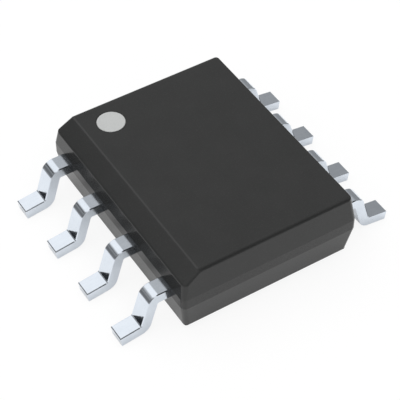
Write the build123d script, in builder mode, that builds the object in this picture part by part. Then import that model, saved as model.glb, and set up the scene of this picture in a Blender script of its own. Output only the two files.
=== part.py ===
from build123d import *
import math
import os

# Narrow eight-lead small-outline package for a transceiver chip, opened up into
# the pieces that it is assembled from. Millimetres. The origin is the middle of
# the package on the board that it stands on. +Z points up, +X to the row of leads
# 5 to 8, and +Y to the end that carries the pin one mark.

# Formed lead frame strip
leads_per_side = 4
lead_pitch = 1.27
lead_span = 6.16
lead_width = 0.37
lead_thickness = 0.22
strip_height = 0.868
shoulder_reach = 0.376
leg_lean = 17.0
foot_tilt = 8.0
bend_inner_radius = 0.04

# Moulded body
body_width = 3.92
body_length = 5.0
body_top = 1.56
standoff = 0.11
parting_band = 0.24
mould_draft = 9.0
top_corner_radius = 0.04
top_edge_radius = 0.095
largest_edge_share = 0.75
bottom_edge_radius = 0.03
bevel_width = 0.315
bevel_drop = 0.236
ejector_mark_radius = 0.5
ejector_mark_depth = 0.03

# Pin one mark, ink flush in a shallow recess
mark_radius = 0.3
mark_from_bevel = 0.58
mark_from_end = 0.57
mark_depth = 0.03

# Fingers of the lead frame inside the body
finger_cover = 0.1
finger_width = 0.62
lock_hole_radius = 0.11
lock_hole_cover = 0.34

# Die pad with its tie bars
pad_width = 2.0
pad_corner_radius = 0.15
pad_gap = 0.22
pad_downset = 0.2
tie_bar_width = 0.3
tie_bar_cover = 0.05
tie_bar_gap = 0.45
tie_bar_rise_start = 0.1
tie_bar_rise_length = 0.25

# Silicon die on its adhesive
die_width = 1.5
die_length = 1.9
die_thickness = 0.28
attach_thickness = 0.025
attach_margin = 0.05

# Gold bond wires, ball on the die and wedge on the finger. Wire and ball have
# eight sides, because rounder ones only add facets to so thin a wire.
wire_width = 0.025
wire_sides = 8
wire_loop_height = 0.14
wire_bend_radius = 0.06
ball_width = 0.076
ball_height = 0.02
wedge_length = 0.07
wedge_width = 0.05
wedge_tip_height = 0.006
bond_inset = 0.12
side_bond_spacing = 0.8
end_bond_spacing = 0.76
wedge_inset = 0.14

# Heights and half sizes that follow from the values above
half_width = body_width / 2
half_length = body_length / 2
band_top = strip_height + parting_band / 2
band_bottom = strip_height - parting_band / 2
draft_slope = math.tan(math.radians(mould_draft))
top_inset = (body_top - band_top) * draft_slope
top_half_width = half_width - top_inset
top_half_length = half_length - top_inset
band_corner_radius = top_corner_radius + top_inset
strip_top = strip_height + lead_thickness / 2
strip_bottom = strip_height - lead_thickness / 2
outer_lead_y = (leads_per_side - 1) / 2 * lead_pitch
pad_half_width = pad_width / 2
pad_half_length = outer_lead_y - finger_width / 2 - pad_gap
pad_height = strip_height - pad_downset
pad_top = pad_height + lead_thickness / 2
die_bottom = pad_top + attach_thickness
die_top = die_bottom + die_thickness
side_finger_tip = pad_half_width + pad_gap
end_finger_tip = tie_bar_width / 2 + tie_bar_gap
mark_x = -(top_half_width - bevel_width - mark_from_bevel)
mark_y = top_half_length - mark_from_end


def gull_wing_path(side):
    """Corners of a lead's centreline from the finger to the toe, as (x, z)."""
    lean = math.radians(leg_lean)
    tilt = math.radians(foot_tilt)
    half = lead_thickness / 2
    toe_x = lead_span / 2 - half * math.sin(tilt)
    toe_z = half * math.cos(tilt)
    knee_x = half_width + shoulder_reach
    # The leg leans out from the knee until it meets the line of the tilted foot.
    drop = strip_height - toe_z - (toe_x - knee_x) * math.tan(tilt)
    leg_height = drop / (1 - math.tan(lean) * math.tan(tilt))
    heel_x = knee_x + leg_height * math.tan(lean)
    heel_z = strip_height - leg_height
    start_x = half_width - finger_cover
    return [
        (side * start_x, strip_height),
        (side * knee_x, strip_height),
        (side * heel_x, heel_z),
        (side * toe_x, toe_z),
    ]


def is_end_lead(lead_y):
    return abs(lead_y) > outer_lead_y - lead_pitch / 2


def make_lead(label, side, lead_y):
    """One lead: a flat finger in the mould compound and a gull wing outside it."""
    tip = end_finger_tip if is_end_lead(lead_y) else side_finger_tip
    root = half_width - finger_cover
    hole_x = side * (half_width - lock_hole_cover)
    section_plane = Plane(origin=(side * root, lead_y, strip_height), x_dir=(0, 1, 0), z_dir=(side, 0, 0))
    with BuildPart() as lead:
        with BuildSketch(Plane.XY.offset(strip_bottom)) as finger_plan:
            with Locations((side * (root + tip) / 2, lead_y)):
                Rectangle(root - tip, finger_width)
            with Locations((hole_x, lead_y)):
                Circle(lock_hole_radius, mode=Mode.SUBTRACT)
        extrude(amount=lead_thickness)
        with BuildLine(Plane.XZ.offset(-lead_y)) as centreline:
            FilletPolyline(gull_wing_path(side), radius=bend_inner_radius + lead_thickness / 2)
        with BuildSketch(section_plane) as strip_section:
            Rectangle(lead_width, lead_thickness)
        sweep(sections=strip_section.sketch, path=centreline.line)
    lead.part.label = label
    return lead.part


def make_die_pad():
    """The pad that carries the die, hung in the frame by a tie bar at each end."""
    bar_start = pad_half_length - tie_bar_rise_start
    rise_start = pad_half_length + tie_bar_rise_start
    rise_end = rise_start + tie_bar_rise_length
    bar_end = half_length - tie_bar_cover
    section_plane = Plane(origin=(0, bar_start, pad_height), x_dir=(1, 0, 0), z_dir=(0, 1, 0))
    with BuildPart() as die_pad:
        with BuildSketch(Plane.XY.offset(pad_height - lead_thickness / 2)) as pad_plan:
            Rectangle(pad_width, 2 * pad_half_length)
            fillet(pad_plan.vertices(), radius=pad_corner_radius)
        extrude(amount=lead_thickness)
        with BuildLine(Plane.YZ) as bar_line:
            FilletPolyline(
                (bar_start, pad_height),
                (rise_start, pad_height),
                (rise_end, strip_height),
                (bar_end, strip_height),
                radius=bend_inner_radius + lead_thickness / 2,
            )
        with BuildSketch(section_plane) as bar_section:
            Rectangle(tie_bar_width, lead_thickness)
        sweep(sections=bar_section.sketch, path=bar_line.line)
        mirror(about=Plane.XZ)
    die_pad.part.label = "die_pad"
    return die_pad.part


def make_die_attach():
    with BuildPart() as die_attach:
        with BuildSketch(Plane.XY.offset(pad_top)) as glue_plan:
            Rectangle(die_width + 2 * attach_margin, die_length + 2 * attach_margin)
            fillet(glue_plan.vertices(), radius=attach_margin)
        extrude(amount=attach_thickness)
    die_attach.part.label = "die_attach"
    return die_attach.part


def make_die():
    with BuildPart() as silicon_die:
        with BuildSketch(Plane.XY.offset(die_bottom)) as die_plan:
            Rectangle(die_width, die_length)
        extrude(amount=die_thickness)
    silicon_die.part.label = "silicon_die"
    return silicon_die.part


def bond_places(side, lead_y):
    """Where a wire's ball sits on the die and its wedge on the finger, in plan."""
    end = math.copysign(1, lead_y)
    if is_end_lead(lead_y):
        ball = (side * end_bond_spacing / 2, end * (die_length / 2 - bond_inset))
        wedge_y = lead_y - end * (finger_width / 2 - wedge_inset)
        return ball, (side * (end_finger_tip + wedge_inset), wedge_y)
    ball = (side * (die_width / 2 - bond_inset), end * side_bond_spacing / 2)
    return ball, (side * (side_finger_tip + wedge_inset), lead_y)


def make_bond_wire(label, side, lead_y):
    """A looped wire with its ball bond and its flattened wedge bond, in one piece."""
    ball, wedge = bond_places(side, lead_y)
    span = math.dist(ball, wedge)
    along = ((wedge[0] - ball[0]) / span, (wedge[1] - ball[1]) / span, 0)
    finger_drop = strip_top - die_top
    landing = finger_drop + wire_width / 2
    wedge_start = span - wedge_length
    wire_plane = Plane(origin=(*ball, die_top), x_dir=along, z_dir=(along[1], -along[0], 0))
    section_plane = Plane(origin=(*ball, die_top + ball_height), x_dir=along, z_dir=(0, 0, 1))
    with BuildPart() as bond_wire:
        with BuildLine(wire_plane) as loop:
            FilletPolyline(
                (0, ball_height),
                (0, wire_loop_height),
                (wedge_start - wedge_length, landing),
                (wedge_start, landing),
                radius=wire_bend_radius,
            )
        with BuildSketch(section_plane) as wire_section:
            RegularPolygon(wire_width / 2, wire_sides, major_radius=False, rotation=180 / wire_sides)
        sweep(sections=wire_section.sketch, path=loop.line)
        with BuildSketch(Plane(origin=(*ball, die_top))) as ball_foot:
            RegularPolygon(ball_width / 2, wire_sides, major_radius=False)
        extrude(amount=ball_height)
        with BuildSketch(wire_plane) as wedge_side:
            with BuildLine():
                Polyline(
                    (wedge_start, finger_drop),
                    (span, finger_drop),
                    (span, finger_drop + wedge_tip_height),
                    (wedge_start, finger_drop + wire_width),
                    close=True,
                )
            make_face()
        extrude(amount=wedge_width / 2, both=True)
    bond_wire.part.label = label
    return bond_wire.part


def make_pin_one_mark():
    with BuildPart() as pin_one_mark:
        with BuildSketch(Plane.XY.offset(body_top - mark_depth)) as ink_spot:
            with Locations((mark_x, mark_y)):
                Circle(mark_radius)
        extrude(amount=mark_depth)
    pin_one_mark.part.label = "pin_one_mark"
    return pin_one_mark.part


def make_moulded_body(held_pieces):
    """The epoxy body, drafted both ways from its parting band, round what it holds."""
    bevel_top = top_half_width - bevel_width
    bevel_foot_z = body_top - bevel_drop
    bevel_foot = half_width - (bevel_foot_z - band_top) * draft_slope
    bevel_plane = Plane(
        origin=(-bevel_top, 0, body_top),
        x_dir=(0, 1, 0),
        z_dir=(-bevel_drop, 0, bevel_foot - bevel_top),
    )
    with BuildPart() as moulded_body:
        with BuildSketch(Plane.XY.offset(band_bottom)) as parting_outline:
            RectangleRounded(body_width, body_length, band_corner_radius)
        extrude(amount=parting_band)
        extrude(
            moulded_body.faces().sort_by(Axis.Z)[-1],
            amount=body_top - band_top,
            taper=mould_draft,
        )
        extrude(
            moulded_body.faces().sort_by(Axis.Z)[0],
            amount=band_bottom - standoff,
            taper=mould_draft,
        )
        split(bisect_by=bevel_plane, keep=Keep.BOTTOM)
        top_face = moulded_body.faces().sort_by(Axis.Z)[-1]
        bevel_face = moulded_body.faces().filter_by(bevel_plane)[0]
        rim = top_face.edges() + bevel_face.edges()
        # The rim's rounding has to stay inside the rounding of the upright corners.
        rim_radius = min(top_edge_radius, largest_edge_share * band_corner_radius)
        fillet(moulded_body.edges().filter_by(lambda edge: edge in rim), radius=rim_radius)
        fillet(moulded_body.faces().sort_by(Axis.Z)[0].edges(), radius=bottom_edge_radius)
        with Locations((mark_x, mark_y, body_top)):
            Hole(mark_radius, depth=mark_depth)
        with BuildSketch(Plane.XY.offset(standoff)) as ejector_mark:
            Circle(ejector_mark_radius)
        extrude(amount=ejector_mark_depth, mode=Mode.SUBTRACT)
        add(held_pieces, mode=Mode.SUBTRACT)
    moulded_body.part.label = "moulded_body"
    return moulded_body.part


held_pieces = [make_die_pad(), make_die_attach(), make_die()]
for index in range(leads_per_side):
    left_y = outer_lead_y - index * lead_pitch
    for number, side, lead_y in (
        (index + 1, -1, left_y),
        (index + 1 + leads_per_side, 1, -left_y),
    ):
        held_pieces.append(make_lead(f"lead_{number}", side, lead_y))
        held_pieces.append(make_bond_wire(f"bond_wire_{number}", side, lead_y))

os.makedirs("parts", exist_ok=True)
for piece in [make_moulded_body(held_pieces), make_pin_one_mark(), *held_pieces]:
    export_step(piece, f"parts/{piece.label}.step")
    print(piece.label, "volume", round(piece.volume, 4))
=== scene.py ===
# %% [markdown]
# # A transceiver chip in Blender
# The chip is a black epoxy block, 5 mm long, with four bright leads along each side. The frame
# is the CAD model of it. It comes in first, because every piece made below stands where a CAD
# piece stands, and takes its place from that piece's box.

# %% Load the frame
import math

import bmesh
import bpy
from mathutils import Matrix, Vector


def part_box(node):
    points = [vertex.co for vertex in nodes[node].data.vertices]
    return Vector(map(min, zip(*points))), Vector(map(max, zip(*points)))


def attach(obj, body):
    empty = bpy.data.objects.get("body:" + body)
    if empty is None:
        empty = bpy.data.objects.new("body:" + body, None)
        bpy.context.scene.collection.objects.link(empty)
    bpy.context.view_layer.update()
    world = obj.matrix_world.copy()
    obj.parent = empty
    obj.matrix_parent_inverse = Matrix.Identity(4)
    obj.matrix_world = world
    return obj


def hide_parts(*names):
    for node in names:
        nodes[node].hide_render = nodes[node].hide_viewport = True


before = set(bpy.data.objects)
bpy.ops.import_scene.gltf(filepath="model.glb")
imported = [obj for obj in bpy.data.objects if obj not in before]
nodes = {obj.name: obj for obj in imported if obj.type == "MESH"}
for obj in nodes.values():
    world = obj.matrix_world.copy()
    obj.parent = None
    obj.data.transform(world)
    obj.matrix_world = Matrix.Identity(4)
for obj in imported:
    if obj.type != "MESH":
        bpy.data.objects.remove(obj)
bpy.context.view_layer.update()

# %% [markdown]
# ## Working at a sensible scale
# Blender's edit tools merge and snap at about a tenth of a millimetre, and a whole lead is only
# two tenths thick. So each piece is modelled a thousand times too large, with one Blender unit
# for a millimetre, and is shrunk when it is finished. `box_mm` reads a CAD piece's box in the
# same millimetres. A corner counts as lying on a plane when it is within `CLOSE` of it.

# %% Millimetres
MM = 0.001
CLOSE = 0.001
CUT_SNAP = 1e-5
LEAD_COUNT = 8


def box_mm(node):
    low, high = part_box(node)
    return low / MM, high / MM


body_low, body_high = box_mm("moulded_body")
body_size = body_high - body_low
print("body in millimetres", [round(side, 3) for side in body_size])

# %% [markdown]
# ## Picking faces and edges
# By hand one clicks the faces to work on. In a script they are picked by where they are or
# which way they face. Each operator works on all that is selected, so everything is let go
# first. The same two helpers serve every piece.

# %% Select in edit mode


def start_piece(name):
    """Names the new primitive and opens it in edit mode."""
    piece = bpy.context.object
    piece.name = piece.data.name = name
    bpy.ops.object.mode_set(mode="EDIT")
    return piece


def pick_faces(piece, wanted):
    """Selects the faces that wanted(face) says yes to, and nothing else."""
    bpy.ops.mesh.select_mode(type="FACE")
    bpy.ops.mesh.select_all(action="DESELECT")
    mesh = bmesh.from_edit_mesh(piece.data)
    for face in mesh.faces:
        face.select_set(wanted(face))
    bmesh.update_edit_mesh(piece.data)


def pick_edges(piece, wanted):
    """Selects the edges that wanted(edge) says yes to, and nothing else, and counts them."""
    bpy.ops.mesh.select_mode(type="EDGE")
    bpy.ops.mesh.select_all(action="DESELECT")
    mesh = bmesh.from_edit_mesh(piece.data)
    for edge in mesh.edges:
        edge.select_set(wanted(edge))
    bmesh.update_edit_mesh(piece.data)
    return sum(edge.select for edge in mesh.edges)


def only(piece):
    """Makes one object the active and only selected one."""
    bpy.ops.object.select_all(action="DESELECT")
    piece.select_set(True)
    bpy.context.view_layer.objects.active = piece


print("helpers for picking are ready")

# %% [markdown]
# ## Finishing a piece
# A finished piece has its modifiers applied, smooth shading that stops at sharp edges, and its
# place in its mesh. Weighted normals keep the flat faces flat next to small roundings, as a
# moulded or stamped face is. Then it rides on the chip's body and hides the CAD piece that it
# stands for.

# %% Modifiers, shading and hand over
SHARP = math.radians(38)


def apply_modifier(piece, kind, **settings):
    modifier = piece.modifiers.new(kind.lower(), kind)
    for setting, value in settings.items():
        setattr(modifier, setting, value)
    only(piece)
    bpy.ops.object.modifier_apply(modifier=modifier.name)


def shrink(piece, place=(0, 0, 0), turn=0):
    """Shades a piece modelled in millimetres, and puts it at its place in metres."""
    only(piece)
    bpy.ops.object.shade_smooth_by_angle(angle=SHARP)
    apply_modifier(piece, "WEIGHTED_NORMAL", keep_sharp=True)
    piece.location = Vector(place) * MM
    piece.rotation_euler = (0, 0, turn)
    piece.scale = (MM, MM, MM)
    bpy.ops.object.transform_apply(location=True, rotation=True, scale=True)


def hand_over(piece, slot, *replaced):
    """Ties a finished piece to the frame."""
    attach(piece, "root")
    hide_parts(*replaced)
    print(piece.name, len(piece.data.polygons), "faces, stands for", *replaced)


print("shading breaks at", round(math.degrees(SHARP)), "degrees")

# %% [markdown]
# ## The moulded body: a drafted block
# The real body is epoxy pressed into a two-part mould. Its sides lean 9 degrees inwards, up and
# down from a plain band, so that both mould halves let go. It could be a lofted shape, but a
# block whose top and bottom faces are inset and raised at once gives the same even draft on all
# four sides with two operators.

# %% Block, band and draft
strip_height = 0.868
parting_band = 0.24
draft_slope = math.tan(math.radians(9))
level_face = 0.9
band_top = strip_height + parting_band / 2
band_bottom = strip_height - parting_band / 2
top_rise = body_high.z - band_top
bottom_drop = band_bottom - body_low.z

bpy.ops.object.select_all(action="DESELECT")
bpy.ops.mesh.primitive_cube_add(
    size=1, location=(0, 0, 0), scale=(body_size.x, body_size.y, parting_band)
)
bpy.ops.transform.translate(value=(0, 0, strip_height))
bpy.ops.object.transform_apply(location=True, rotation=True, scale=True)
body = start_piece("epoxy_body")
pick_faces(body, lambda face: face.normal.z > level_face)
bpy.ops.mesh.inset(thickness=top_rise * draft_slope, depth=top_rise)
pick_faces(body, lambda face: face.normal.z < -level_face)
bpy.ops.mesh.inset(thickness=bottom_drop * draft_slope, depth=bottom_drop)
print("drafted block from", round(body_low.z, 3), "to", round(body_high.z, 3), "mm")

# %% [markdown]
# ## The bevel beside lead 1
# One long top edge is cut off as a broad bevel, which tells an inspector where lead 1 is even
# where the print has worn off. A single bisect plane makes the cut and fills it. In the picture
# the opposite side stands a hundredth of a millimetre further out and leans a touch less, so its
# edges move out by that.

# %% Cut the bevel
bevel_width = 0.315
bevel_drop = 0.236
far_side_out = 0.012
far_rim_out = 0.010
top_half_width = body_size.x / 2 - top_rise * draft_slope
bevel_top_x = -(top_half_width - bevel_width)
bevel_foot_z = body_high.z - bevel_drop
bevel_foot_x = -(body_size.x / 2 - (bevel_foot_z - band_top) * draft_slope)
bpy.ops.mesh.select_all(action="SELECT")
bpy.ops.mesh.bisect(
    plane_co=(bevel_top_x, 0, body_high.z),
    plane_no=(-bevel_drop, 0, bevel_top_x - bevel_foot_x),
    use_fill=True,
    clear_outer=True,
    threshold=CUT_SNAP,
)
pick_edges(body, lambda edge: all(corner.co.x > 0 for corner in edge.verts))
bpy.ops.transform.translate(value=(far_side_out, 0, 0))
pick_edges(
    body,
    lambda edge: all(
        corner.co.x > 0 and corner.co.z > body_high.z - CLOSE for corner in edge.verts
    ),
)
bpy.ops.transform.translate(value=(far_rim_out, 0, 0))
bpy.ops.object.mode_set(mode="OBJECT")
print("bevel from x", round(bevel_top_x, 3), "to", round(bevel_foot_x, 3))

# %% [markdown]
# ## Rounded rims and corners
# The mould cavity is cut with a small round tool, so the top's rim, the bevel's edges and the
# upright corners have radii of about a tenth of a millimetre. The rim above leads 5 to 8 is
# tighter, and the bottom rim is nearly sharp. A bevel's width is measured along the faces, so
# an edge that turns less needs less of it for the same radius. Each edge's weight is worked out
# from the angle that it turns by.

# %% Round the edges by their radii
rim_radius = 0.08
far_rim_radius = 0.05
upright_radius = 0.105
bottom_radius = 0.03
widest = upright_radius * math.tan(math.radians(46))
rim_segments = 6


def rounding(edge):
    """The radius that the real body has along this edge."""
    heights = [corner.co.z for corner in edge.verts]
    if max(heights) < body_low.z + CLOSE:
        return bottom_radius
    on_far_side = min(corner.co.x for corner in edge.verts) > 0
    if on_far_side and min(heights) > body_high.z - CLOSE:
        return far_rim_radius
    if min(heights) > bevel_foot_z - CLOSE:
        return rim_radius
    return upright_radius if abs(heights[0] - heights[1]) > CLOSE else 0


bpy.ops.object.mode_set(mode="EDIT")
mesh = bmesh.from_edit_mesh(body.data)
weight = mesh.edges.layers.float.new("bevel_weight_edge")
for edge in mesh.edges:
    width = rounding(edge) * math.tan(edge.calc_face_angle() / 2)
    edge[weight] = width / widest
rounded = sum(edge[weight] > 0 for edge in mesh.edges)
bmesh.update_edit_mesh(body.data)
bpy.ops.object.mode_set(mode="OBJECT")
apply_modifier(
    body,
    "BEVEL",
    limit_method="WEIGHT",
    width=widest,
    segments=rim_segments,
    use_clamp_overlap=False,
)
print(rounded, "edges rounded, body has", len(body.data.polygons), "faces")

# %% [markdown]
# ## The parting band's edges
# Where the draft meets the plain band the mould is ground sharp, and the epoxy has only a hair
# of rounding there. It is a bevel of its own, so that it runs round the corners in one line.

# %% Break the band's edges
band_break = 0.008


def on_band_rim(edge):
    """Whether the edge runs along the band's upper or lower rim."""
    return any(
        all(abs(corner.co.z - rim) < CLOSE for corner in edge.verts)
        for rim in (band_top, band_bottom)
    )


bpy.ops.object.mode_set(mode="EDIT")
found = pick_edges(body, on_band_rim)
bpy.ops.mesh.bevel(offset=band_break, segments=2, affect="EDGES")
bpy.ops.object.mode_set(mode="OBJECT")
print(found, "band edges broken")

# %% [markdown]
# ## Two round recesses
# A pin in the mould leaves the shallow well that the pale mark fills, and the ejector that
# pushes the body out leaves a round print below. Both are cut with a cylinder by a Boolean
# modifier, as a pin would press them, and get a fine rounding at their rims.

# %% Sink the mark's well and the ejector's print
mark_low, mark_high = box_mm("pin_one_mark")
mark_place = (mark_low + mark_high) / 2
mark_radius = (mark_high.x - mark_low.x) / 2
mark_depth = mark_high.z - mark_low.z
ejector_radius = 0.5
ejector_depth = 0.03
recess_rim = 0.006
round_sides = 96


def sink_well(place, radius, depth, face_z):
    """Cuts a round well of that depth at a flat face and rounds its rim."""
    bpy.ops.object.select_all(action="DESELECT")
    bpy.ops.mesh.primitive_cylinder_add(
        vertices=round_sides,
        radius=radius,
        depth=2 * depth,
        location=(place[0], place[1], face_z),
    )
    pin = bpy.context.object
    apply_modifier(body, "BOOLEAN", operation="DIFFERENCE", object=pin, solver="EXACT")
    bpy.data.objects.remove(pin)
    bpy.ops.object.mode_set(mode="EDIT")
    centre = Vector((place[0], place[1], face_z))
    found = pick_edges(
        body,
        lambda edge: all(
            abs((corner.co - centre).length - radius) < CLOSE
            and abs(corner.co.z - face_z) < CLOSE
            for corner in edge.verts
        ),
    )
    bpy.ops.mesh.bevel(offset=recess_rim, segments=2, affect="EDGES")
    bpy.ops.object.mode_set(mode="OBJECT")
    print("well of radius", round(radius, 3), "with", found, "rim edges")


sink_well(mark_place, mark_radius, mark_depth, body_high.z)
sink_well((0, 0), ejector_radius, ejector_depth, body_low.z)
shrink(body)

# %% [markdown]
# ## The pin one mark
# The mark is a drop of pale ink that fills the well and dries with a slightly sunken middle.
# A disc with its rim rounded and its top inset and lowered has that shape. It stops a hundredth
# short of the well's wall, because ink shrinks as it dries, and the gap shows as a dark ring.

# %% Pour the ink
ink_gap = 0.010
ink_dip = 0.003
ink_rim = 0.008
dish_rings = (0.05, 0.1)
dish_step = 0.001
ink_thickness = mark_depth - ink_dip
bpy.ops.object.select_all(action="DESELECT")
bpy.ops.mesh.primitive_cylinder_add(
    vertices=round_sides,
    radius=mark_radius - ink_gap,
    depth=ink_thickness,
    location=(mark_place.x, mark_place.y, mark_low.z + ink_thickness / 2),
)
bpy.ops.object.transform_apply(location=True, rotation=True, scale=True)
ink = start_piece("ink_spot")
pick_edges(ink, lambda edge: min(corner.co.z for corner in edge.verts) > mark_place.z)
bpy.ops.mesh.bevel(offset=ink_rim, segments=4, affect="EDGES")
pick_faces(ink, lambda face: face.normal.z > 0.99)
for ring in dish_rings:
    bpy.ops.mesh.inset(thickness=ring, depth=-dish_step)
bpy.ops.object.mode_set(mode="OBJECT")
shrink(ink)
print("ink of radius", round(mark_radius - ink_gap, 3), "mm")

# %% [markdown]
# ## The leads: a stamped finger
# Each lead is stamped from copper strip, 0.22 mm thick. Inside the epoxy it is a wide finger
# with a hole that the epoxy flows through, so that the lead can't be pulled out. The finger
# starts as a flat bar, is cut along the narrower lead's two sides, and gets its hole from a
# Boolean cylinder.

# %% Stamp the finger
lead_width = 0.37
lead_thickness = 0.22
finger_width = 0.62
finger_inset = 0.1
root_x = body_size.x / 2 - finger_inset
side_tip_x = 1.22
lock_hole_inset = 0.34
lock_hole_radius = 0.11
lock_hole_sides = 32

bpy.ops.object.select_all(action="DESELECT")
bpy.ops.mesh.primitive_cube_add(
    size=1,
    location=((root_x + side_tip_x) / 2, 0, strip_height),
    scale=(root_x - side_tip_x, finger_width, lead_thickness),
)
bpy.ops.object.transform_apply(location=True, rotation=True, scale=True)
lead = start_piece("gull_wing_lead")
for side in (-1, 1):
    bpy.ops.mesh.select_all(action="SELECT")
    bpy.ops.mesh.bisect(
        plane_co=(0, side * lead_width / 2, 0), plane_no=(0, 1, 0), threshold=CUT_SNAP
    )
bpy.ops.object.mode_set(mode="OBJECT")
bpy.ops.mesh.primitive_cylinder_add(
    vertices=lock_hole_sides,
    radius=lock_hole_radius,
    depth=2 * lead_thickness,
    location=(body_size.x / 2 - lock_hole_inset, 0, strip_height),
)
punch = bpy.context.object
apply_modifier(lead, "BOOLEAN", operation="DIFFERENCE", object=punch, solver="EXACT")
bpy.data.objects.remove(punch)
print("finger from", round(side_tip_x, 3), "to", round(root_x, 3), "mm")

# %% [markdown]
# ## The leads: bent into a gull wing
# Outside the epoxy a press bends the lead down and then out again, so that the foot lies nearly
# flat on its solder land. The model is bent the same way. The end face is drawn straight out
# with an extrude, and goes round each bend with a spin about the bend's centre. `here` and
# `heading` follow the middle of the strip, as a finger on the real one would.

# %% Bend the wing
knee_reach = 0.376
knee = Vector((body_size.x / 2 + knee_reach, 0, strip_height))
leg_angle = math.radians(73)
foot_angle = math.radians(8)
toe = Vector((
    box_mm("lead_5")[1].x - lead_thickness / 2 * math.sin(foot_angle),
    0,
    lead_thickness / 2 * math.cos(foot_angle),
))
inner_radius = 0.04
bend_radius = inner_radius + lead_thickness / 2
bend_steps = 20


def along(heading):
    """The unit step of a strip that points down by that angle."""
    return Vector((math.cos(heading), 0, -math.sin(heading)))


def draw_out(here, heading, length):
    """Extrudes the selected end face straight on."""
    step = along(heading) * length
    bpy.ops.mesh.extrude_region_move(TRANSFORM_OT_translate={"value": step})
    return here + step


def bend(here, heading, angle):
    """Spins the selected end face round a bend, down where the angle is positive."""
    inwards = along(heading + math.copysign(math.pi / 2, angle))
    centre = here + inwards * bend_radius
    bpy.ops.mesh.spin(steps=bend_steps, angle=angle, center=centre, axis=(0, -1, 0))
    turned = heading + angle
    return centre - along(turned + math.copysign(math.pi / 2, angle)) * bend_radius, turned


# The leg and the foot are two straight lines, and the heel is where they cross.
leg_height = (knee.z - toe.z - (toe.x - knee.x) * math.tan(foot_angle)) / (
    1 - math.tan(foot_angle) / math.tan(leg_angle)
)
heel = knee + Vector((leg_height / math.tan(leg_angle), 0, -leg_height))
knee_trim = bend_radius * math.tan(leg_angle / 2)
heel_trim = bend_radius * math.tan((leg_angle - foot_angle) / 2)

bpy.ops.object.mode_set(mode="EDIT")
pick_faces(
    lead,
    lambda face: face.normal.x > level_face
    and face.calc_center_median().x > root_x - CLOSE
    and abs(face.calc_center_median().y) < lead_width / 2,
)
here, heading = Vector((root_x, 0, strip_height)), 0.0
here = draw_out(here, heading, knee.x - knee_trim - root_x)
here, heading = bend(here, heading, leg_angle)
here = draw_out(here, heading, (heel - knee).length - knee_trim - heel_trim)
here, heading = bend(here, heading, foot_angle - leg_angle)
here = draw_out(here, heading, (toe - heel).length - heel_trim)
bpy.ops.object.mode_set(mode="OBJECT")
print("toe at", [round(v, 4) for v in here], "wanted", [round(v, 4) for v in toe])

# %% [markdown]
# ## The leads: broken arrises
# The punch that stamps the leads drags the upper edges down a little, and leaves the lower ones
# sharp. The narrow flat along the upper edges mirrors the dark side of the room, and shows in the
# picture as a thin dark line beside each bright face. The edges are the sharp ones that touch a
# face that looks up. The bends turn by only a few degrees at each step, so they stay as they are.

# %% Break the arrises
arris = 0.016
sharp_turn = math.radians(50)
looking_up = 0.2
bpy.ops.object.mode_set(mode="EDIT")
found = pick_edges(
    lead,
    lambda edge: edge.calc_face_angle() > sharp_turn
    and max(face.normal.z for face in edge.link_faces) > looking_up,
)
bpy.ops.mesh.bevel(offset=arris, segments=1, affect="EDGES")
bpy.ops.object.mode_set(mode="OBJECT")
print(found, "upper edges broken, lead has", len(lead.data.polygons), "faces")

# %% [markdown]
# ## Eight leads
# The lead is modelled once, for the side that faces +X. Each copy has its own mesh. It is turned
# half round for the other side, and moved to where its CAD piece stands. The four leads at the
# ends reach further in, past the die pad's corner, so their tips are pulled out first.

# %% Copy the leads
leads = []
for number in range(1, LEAD_COUNT + 1):
    name = f"lead_{number}"
    low, high = box_mm(name)
    on_left = high.x < 0
    only(lead)
    bpy.ops.object.duplicate()
    copy = bpy.context.object
    copy.name = copy.data.name = f"gull_wing_{number}"
    tip_x = -high.x if on_left else low.x
    bpy.ops.object.mode_set(mode="EDIT")
    pick_faces(copy, lambda face: face.calc_center_median().x < side_tip_x + arris)
    bpy.ops.transform.translate(value=(tip_x - side_tip_x, 0, 0))
    bpy.ops.object.mode_set(mode="OBJECT")
    shrink(copy, (0, (low.y + high.y) / 2, 0), math.pi if on_left else 0)
    leads.append(copy)
bpy.data.objects.remove(lead)
print(len(leads), "leads in two rows")

# %% [markdown]
# ## Shader maths in Python
# Materials are networks of nodes. `Shade` wraps one node output, so that `1 - mask * 0.5`
# adds the Math nodes for that. Any other node comes from `node`, which sets the node's
# options first and then fills or links its sockets.

# %% A wrapper for sockets


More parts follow.
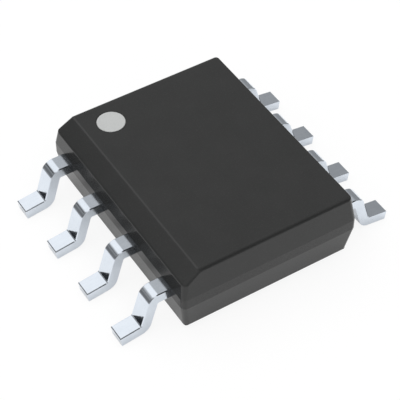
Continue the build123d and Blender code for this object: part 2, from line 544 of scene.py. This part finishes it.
class Shade:
    """One output of a node, or a whole node tree where no output is named."""

    def __init__(self, tree, output=None):
        self.tree, self.output = tree, output

    def node(self, kind, settings=None, sockets=None, out=0):
        made = self.tree.nodes.new(kind)
        for setting, value in (settings or {}).items():
            setattr(made, setting, value)
        for key, value in (sockets or {}).items():
            socket = self.find(made.inputs, key)
            if isinstance(value, Shade):
                self.tree.links.new(value.output, socket)
            else:
                socket.default_value = value
        return Shade(self.tree, self.find(made.outputs, out)) if made.outputs else made

    @staticmethod
    def find(sockets, key):
        matches = [socket for socket in sockets if socket.identifier == key]
        return matches[0] if matches else sockets[key]

    def maths(self, operation, *values):
        return self.node("ShaderNodeMath", {"operation": operation}, dict(enumerate(values)))

    def __add__(self, other):
        return self.maths("ADD", self, other)

    def __sub__(self, other):
        return self.maths("SUBTRACT", self, other)

    def __rsub__(self, other):
        return self.maths("SUBTRACT", other, self)

    def __mul__(self, other):
        return self.maths("MULTIPLY", self, other)

    def __truediv__(self, other):
        return self.maths("DIVIDE", self, other)

    __radd__ = __add__
    __rmul__ = __mul__

    def dot(self, direction):
        settings = {"operation": "DOT_PRODUCT"}
        return self.node("ShaderNodeVectorMath", settings, {0: self, 1: direction}, "Value")

    def length(self):
        return self.node("ShaderNodeVectorMath", {"operation": "LENGTH"}, {0: self}, "Value")

    def fade(self, start, end):
        """0 before start, 1 after end, and smooth between. Start may be the larger one."""
        low, high = min(start, end), max(start, end)
        first, last = (0.0, 1.0) if start < end else (1.0, 0.0)
        ends = {"From Min": low, "From Max": high, "To Min": first, "To Max": last}
        settings = {"interpolation_type": "SMOOTHSTEP"}
        return self.node("ShaderNodeMapRange", settings, {"Value": self, **ends})

    def mix(self, first, second):
        """Colour first where this factor is 0, and second where it is 1."""
        first, second = [c if isinstance(c, Shade) else (*c, 1.0) for c in (first, second)]
        return self.node(
            "ShaderNodeMix",
            {"data_type": "RGBA"},
            {"Factor_Float": self, "A_Color": first, "B_Color": second},
            "Result_Color",
        )

    def noise(self, scale, detail=2.0, roughness=0.5, stretch=(1, 1, 1)):
        """Noise over these coordinates, with scale in grains for each millimetre."""
        per_mm = [axis / MM for axis in stretch]
        stretched = self.node("ShaderNodeMapping", {}, {"Vector": self, "Scale": per_mm})
        sockets = {"Vector": stretched, "Scale": scale, "Detail": detail, "Roughness": roughness}
        return self.node("ShaderNodeTexNoise", {}, sockets)

    def bump(self, height_um):
        """A normal from this height, where 1 stands for so many thousandths of a millimetre."""
        sockets = {"Height": self, "Distance": height_um * MM * MM, "Strength": 1.0}
        return self.node("ShaderNodeBump", {}, sockets)


def new_material(name, constants):
    """A material with its Principled shader, whose own sockets take the constants."""
    material = bpy.data.materials.new(name)
    material.use_nodes = True
    shader = material.node_tree.nodes["Principled BSDF"]
    for socket, value in constants.items():
        shader.inputs[socket].default_value = value
    coordinates = Shade(material.node_tree).node("ShaderNodeTexCoord", out="Object")
    return material, shader, coordinates


def feed(shader, **values):
    """Links wrapped outputs to the Principled shader's sockets."""
    for name, value in values.items():
        value.tree.links.new(value.output, shader.inputs[name.replace("_", " ")])


print("shader wrapper ready")

# %% [markdown]
# ## Mould compound
# The body is epoxy filled with ground silica, tinted black with carbon. Close up it is a dense
# grey-black with paler grains, and the spark-eroded mould prints a very fine texture on it.
# The sheen is that of a smooth plastic. Two noises make the grains and a slow cloudiness, and
# a third gives the fine relief.

# %% The epoxy's material
epoxy, shader, place = new_material("mould_compound", {"IOR": 1.42})
grains = place.noise(45, 3.0, 0.6).fade(0.52, 0.72)
clouds = place.noise(1.4, 3.0)
relief = place.noise(28, 4.0, 0.6)
tone = clouds.fade(0.3, 0.7).mix((0.0215, 0.0220, 0.0218), (0.0235, 0.0240, 0.0238))
feed(
    shader,
    Base_Color=(grains * 0.35).mix(tone, (0.050, 0.050, 0.049)),
    Roughness=0.15 + relief * 0.07 + clouds * 0.03,
    Normal=relief.bump(0.12),
)
body.data.materials.append(epoxy)
hand_over(body, "mould_compound", "moulded_body")

# %% [markdown]
# ## Marking ink
# The ink is a matt pale grey epoxy paint. Its pigment settles a little unevenly, and it dries
# with a fine orange-peel surface.

# %% The ink's material
ink_paint, shader, place = new_material("marking_ink", {"IOR": 1.5})
pigment = place.noise(30, 3.0, 0.6)
peel = place.noise(9, 2.0)
feed(
    shader,
    Base_Color=pigment.fade(0.3, 0.7).mix((0.460, 0.470, 0.465), (0.490, 0.500, 0.495)),
    Roughness=0.5 + pigment * 0.12,
    Normal=(peel * 0.7 + pigment * 0.3).bump(0.4),
)
ink.data.materials.append(ink_paint)
hand_over(ink, "marking_ink", "pin_one_mark")

# %% [markdown]
# ## Tin plate
# The leads are copper alloy with a bright tin plate. The strip was rolled, so faint lines run
# along it under the plate, and the plate itself is slightly cloudy. The lines are a noise that
# is stretched along the lead. It varies the roughness and gives a relief far too low to see as
# shape.

# %% The leads' material
tin, shader, place = new_material("tin_plate", {"Metallic": 1.0})
rolled = place.noise(1, 3.0, 0.6, stretch=(2.5, 55, 2.5))
cloudy = place.noise(5, 3.0, 0.55)
tone = (cloudy * 0.6 + rolled * 0.4).fade(0.3, 0.7)
feed(
    shader,
    Base_Color=tone.mix((0.710, 0.765, 0.835), (0.760, 0.815, 0.885)),
    Roughness=0.07 + rolled * 0.06 + cloudy * 0.05,
    Normal=(rolled * 0.6 + cloudy * 0.4).bump(0.10),
)
for number, copy in enumerate(leads, 1):
    copy.data.materials.append(tin)
    hand_over(copy, "tin_plated_lead", f"lead_{number}")

# %% [markdown]
# ## The pieces sealed inside
# The die pad, the adhesive, the silicon die and the gold wires are the CAD pieces themselves,
# whose shapes are right already. They get finishes of their own: bare rolled copper, silver
# flakes in epoxy, polished silicon with a grid of circuit blocks, and drawn gold.

# %% Finishes for the inner pieces
copper, shader, place = new_material("bare_copper", {"Metallic": 1.0})
rolled = place.noise(1, 3.0, 0.6, stretch=(40, 2.5, 2.5))
feed(
    shader,
    Base_Color=rolled.fade(0.3, 0.7).mix((0.76, 0.42, 0.28), (0.83, 0.49, 0.34)),
    Roughness=0.25 + rolled * 0.15,
    Normal=rolled.bump(0.3),
)

silver_epoxy, shader, place = new_material("silver_epoxy", {})
flakes = place.node("ShaderNodeTexVoronoi", {"feature": "F1"}, {"Vector": place, "Scale": 90 / MM})
feed(
    shader,
    Base_Color=flakes.fade(0.2, 0.7).mix((0.66, 0.66, 0.66), (0.42, 0.42, 0.43)),
    Roughness=0.3 + flakes * 0.3,
    Metallic=flakes.fade(0.6, 0.2) * 0.8,
    Normal=flakes.bump(1.5),
)

silicon, shader, place = new_material("silicon", {"Metallic": 1.0})
blocks = place.node(
    "ShaderNodeTexVoronoi",
    {"feature": "F1", "distance": "CHEBYCHEV"},
    {"Vector": place, "Scale": 7 / MM, "Randomness": 0.6},
    "Color",
)
brightness = blocks.dot((0.33, 0.33, 0.33))
feed(
    shader,
    Base_Color=brightness.mix((0.13, 0.14, 0.20), (0.30, 0.27, 0.31)),
    Roughness=0.12 + brightness * 0.2,
    Normal=brightness.bump(0.5),
)

gold, shader, place = new_material("gold_wire", {"Metallic": 1.0})
drawn = place.noise(60, 2.0)
feed(
    shader,
    Base_Color=drawn.fade(0.3, 0.7).mix((0.86, 0.60, 0.22), (0.94, 0.70, 0.30)),
    Roughness=0.2 + drawn * 0.1,
    Normal=drawn.bump(0.2),
)

inner = {"die_pad": copper, "die_attach": silver_epoxy, "silicon_die": silicon}
inner.update({f"bond_wire_{number}": gold for number in range(1, LEAD_COUNT + 1)})
for name, finish in inner.items():
    nodes[name].data.materials.clear()
    nodes[name].data.materials.append(finish)
print(len(inner), "sealed pieces finished")

# %% [markdown]
# ## The floor
# The chip stands on a white table. The table's white comes from its own colour. Part of it
# glows for the camera and for reflections alone, so that the background and what the tin
# mirrors are clean white, while the rest still shows the chip's soft shadow. In reflections it
# darkens a few millimetres away, like a sheet of paper that ends there, which gives the bends
# of the leads their grey. The picture shows each thing mirrored once only, and what is
# mirrored a second time is nearly black, so the glow is nearly black after the first reflection.

# %% Lay the table
table_side = 3
# Painted reflection: over this range of distance the table's glow, as reflections see it, dims.
glow_fade_range = (5.5 * MM, 9 * MM)
glow_seen = 0.88
glow_near = 0.25
glow_again = 0.7
far_dimming = 0.75
bpy.ops.object.select_all(action="DESELECT")
bpy.ops.mesh.primitive_plane_add(size=table_side, location=(0, 0, 0))
table = start_piece("white_table")
bpy.ops.mesh.subdivide(number_cuts=3)
bpy.ops.object.mode_set(mode="OBJECT")

table_white = bpy.data.materials.new("table_white")
table_white.use_nodes = True
table_white.node_tree.nodes.clear()
tree = Shade(table_white.node_tree)
to_camera = tree.node("ShaderNodeLightPath", out="Is Camera Ray")
to_glossy = tree.node("ShaderNodeLightPath", out="Is Glossy Ray")
through = tree.node("ShaderNodeLightPath", out="Is Transmission Ray")
mirrored_once = tree.node("ShaderNodeLightPath", out="Glossy Depth").fade(1.9, 1.1)
distance = tree.node("ShaderNodeTexCoord", out="Object").length()
far_off = distance.fade(*glow_fade_range) * (1 - to_camera)
once_share = (glow_again - glow_near) - (1 - glow_near) * far_off
mirrored_share = glow_again - mirrored_once * once_share
share = to_camera * glow_seen + (to_glossy * (1 - to_camera) + through) * mirrored_share
# The glow's colour is painted light: white to the camera and in near reflections, dimmed far off
# in reflections, and nearly black after the first reflection.
white = (mirrored_once * (1 - far_dimming * far_off)).mix((0.05, 0.05, 0.05), (1.0, 1.0, 1.0))
matt = tree.node("ShaderNodeBsdfDiffuse", {}, {"Color": (0.94, 0.94, 0.94, 1.0)})
glow = tree.node("ShaderNodeEmission", {}, {"Color": white, "Strength": 1.0})
surface = tree.node("ShaderNodeMixShader", {}, {0: share, 1: matt, 2: glow})
tree.node("ShaderNodeOutputMaterial", {}, {"Surface": surface})
table.data.materials.append(table_white)
print("table laid")

# %% [markdown]
# ## The studio
# Bright metal shows whatever stands round it, so the room matters as much as the lamps. A soft
# white screen stands high behind the chip and another in front, the walls are mid grey and
# darker low on the left, and a tall black flag gives the metal's edges their dark lines. A dark
# doorway at the back left darkens the far end of the bevel and draws a line on the leads' bends.
# All are painted on the world by direction. To the camera itself the room is white.

# %% Paint the room on the world
world = bpy.data.worlds.new("studio")
bpy.context.scene.world = world
world.use_nodes = True
world.node_tree.nodes.clear()
room = Shade(world.node_tree)
direction = room.node("ShaderNodeTexCoord", out="Generated")
rightwards = direction.dot((1, 0, 0))
upwards = direction.dot((0, 0, 1))
back_over_up = direction.dot((0, 0.707, -0.707))


def screen(centre, half_width, half_height, edge):
    """1 on a soft-edged screen that faces the chip from that direction, 0 elsewhere."""
    forward = Vector(centre).normalized()
    right = forward.cross(Vector((0, 0, 1))).normalized()
    up = right.cross(forward)
    ahead = direction.dot(forward)
    across = room.maths("ABSOLUTE", direction.dot(right) / ahead)
    over = room.maths("ABSOLUTE", direction.dot(up) / ahead)
    inside = across.fade(half_width + edge, half_width - edge)
    inside = inside * over.fade(half_height + edge, half_height - edge)
    return inside * room.maths("GREATER_THAN", ahead, 0.05)


back_screen = screen((-0.145, 0.573, 0.813), 0.36, 0.34, 0.08)
front_screen = screen((-0.14, -0.66, 0.74), 0.20, 0.34, 0.06)
high_flag = screen((0.255, -0.622, 0.74), 0.26, 0.75, 0.06)
low_left = upwards.fade(0.72, 0.15) * rightwards.fade(0.3, -0.3)
doorway = back_over_up.fade(0.01, 0.10) * upwards.fade(0.41, 0.47) * rightwards.fade(-0.35, -0.5)
walls = 0.53 - 0.36 * low_left - 0.22 * rightwards.fade(0.4, 0.7)
walls = walls * (1 - high_flag * 0.95) * (1 - doorway * 0.9)
radiance = walls + back_screen * 0.54 + front_screen * 0.50
mirrored_once = room.node("ShaderNodeLightPath", out="Glossy Depth").fade(1.9, 1.1)
radiance = radiance * (0.15 + 0.85 * mirrored_once)
to_camera = room.node("ShaderNodeLightPath", out="Is Camera Ray")
strength = radiance * (1 - to_camera) + to_camera
sky = room.node("ShaderNodeBackground", {}, {"Color": (1.0, 1.0, 1.0, 1.0), "Strength": strength})
room.node("ShaderNodeOutputWorld", {}, {"Surface": sky})
print("room painted")

# %% [markdown]
# ## The lamps
# Two broad, soft lamps from above bring the light on the chip to a plain level, at which a
# colour looks as it is written. They are kept out of reflections, because the screens are
# already there.

# %% Hang the lamps
lamp_height = 0.05
lamp_softness = math.radians(100)
for name, power, turn in (
    ("overhead", 1.5, (0, 0, 0)),
    ("from_camera_side", 0.8, (math.radians(50), 0, math.radians(-50))),
):
    bpy.ops.object.light_add(type="SUN", location=(0, 0, lamp_height), rotation=turn)
    lamp = bpy.context.object
    lamp.name = name
    lamp.data.energy = power
    lamp.data.angle = lamp_softness
    lamp.visible_glossy = False
print("two lamps hung")

# %% [markdown]
# ## The camera
# The picture was taken with a long lens, from above the corner beside lead 4. Its place comes
# from a fit of the chip's known corners to where they are in the picture.

# %% Set up the camera
camera_place = Vector((-10.771, -17.163, 21.908))
elevation = 46.733
azimuth = 32.040
focal_length = 132.64
film_width = 36
bpy.ops.object.camera_add(
    location=camera_place * MM,
    rotation=(math.radians(90 - elevation), 0, math.radians(-azimuth)),
)
camera = bpy.context.object
camera.name = "camera"
camera.data.lens = focal_length
camera.data.sensor_width = film_width
camera.data.clip_start = 0.001
camera.data.clip_end = 20
bpy.context.scene.camera = camera
bpy.context.scene.view_settings.view_transform = "Standard"
print("camera at", [round(v, 5) for v in camera.location])

# %% [markdown]
